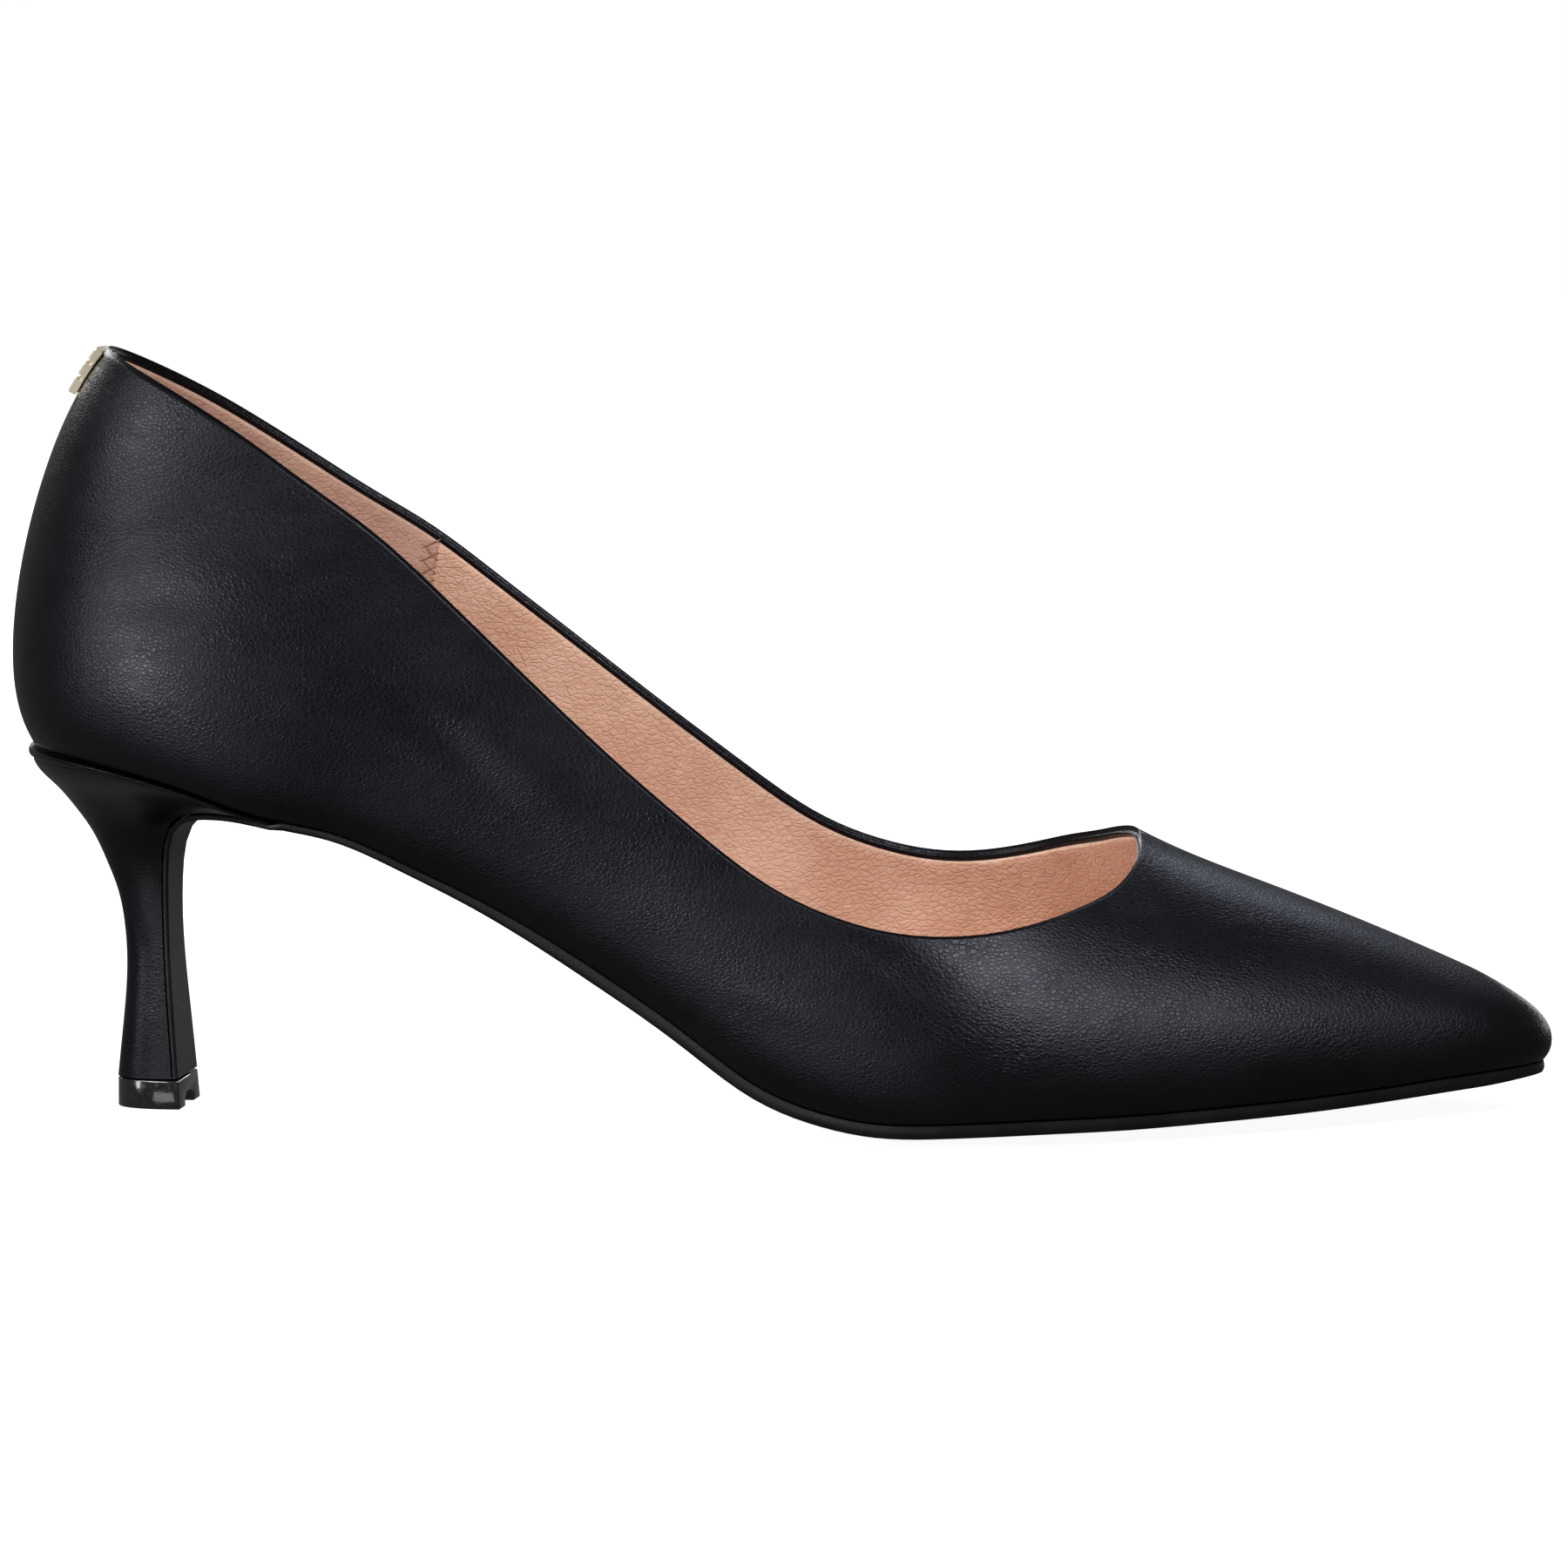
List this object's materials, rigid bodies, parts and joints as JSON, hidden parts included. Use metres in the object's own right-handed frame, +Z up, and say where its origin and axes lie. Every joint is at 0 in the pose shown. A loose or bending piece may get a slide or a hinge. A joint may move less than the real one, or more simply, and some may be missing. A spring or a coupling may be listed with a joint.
{
  "type": "pointed pump shoe",
  "caption": "Right shoe of a pair of black leather pumps with a pointed toe, a low-cut collar and a slim flared heel.",
  "frame": {"origin": "on the floor under the middle of the heel tip", "axes": "+X towards the toe, +Y towards the inner side of the foot, +Z up"},
  "size_m": [0.2492, 0.0757, 0.125],
  "materials": {
    "upper_leather": "fine-grained black calf leather with a soft sheen",
    "sock": "warm beige lining leather, matte",
    "sole_sheet": "black sole sheet, satin edge and matte underside",
    "heel_leather": "smooth black leather pulled over the heel block, satin",
    "top_piece": "hard black plastic, glossy",
    "plate_metal": "pale gold plating, polished"
  },
  "bodies": {
    "root": {"upper": "upper_leather", "insole": "sock", "outsole": "sole_sheet", "heel": "heel_leather", "top_piece": "top_piece", "back_plate": "plate_metal"}
  },
  "joints": []
}
